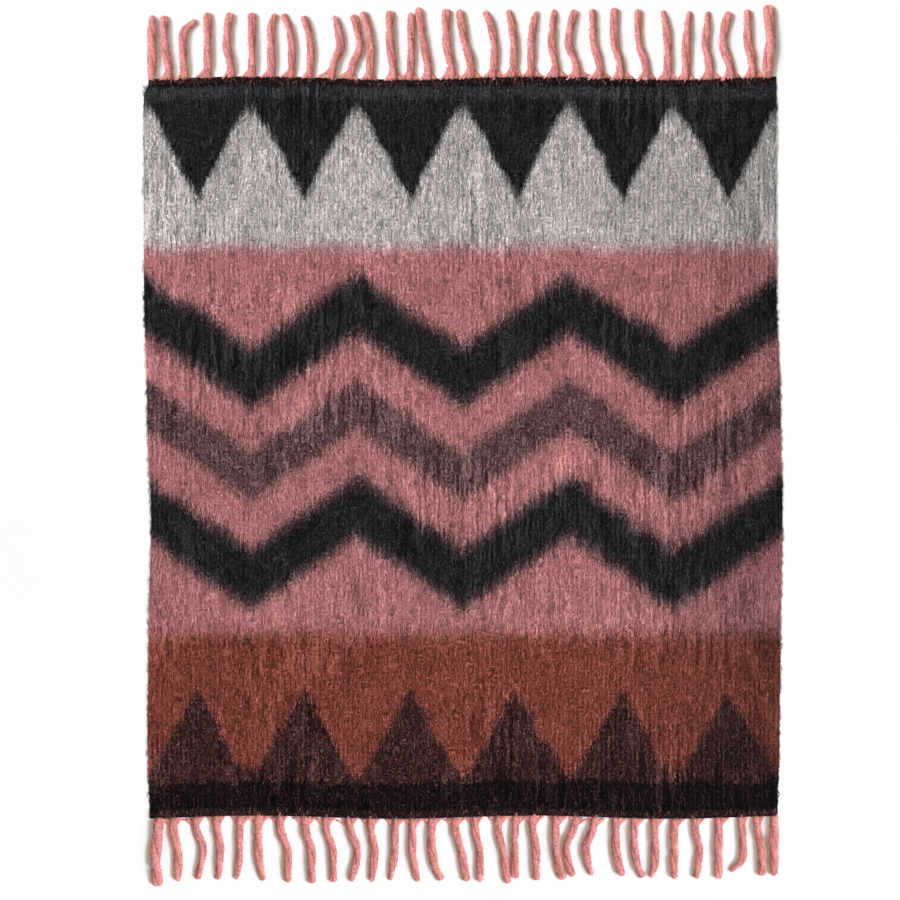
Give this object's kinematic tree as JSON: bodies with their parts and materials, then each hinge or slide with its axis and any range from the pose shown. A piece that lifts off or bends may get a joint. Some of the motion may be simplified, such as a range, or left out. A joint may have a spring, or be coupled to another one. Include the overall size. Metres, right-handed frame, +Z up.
{
  "type": "fringed throw blanket",
  "caption": "Flat rectangular brushed mohair throw blanket, soft pile on top, with a fringe of twisted tassels along each short end; lies on a floor, bed or seat.",
  "frame": {"origin": "middle of the underside, on the surface that the blanket lies on", "axes": "+Z up through the cloth, +Y along the length to the head end, +X across the width"},
  "size_m": [1.3119, 1.8008, 0.013],
  "materials": {
    "brushed_cloth": "brushed mohair pile in dusty pink, grey, rust and charcoal",
    "fringe_yarn": "twisted fuzzy pink mohair yarn"
  },
  "bodies": {
    "root": {"blanket_cloth": "brushed_cloth", "fringe_head": "fringe_yarn", "fringe_foot": "fringe_yarn"}
  },
  "joints": []
}
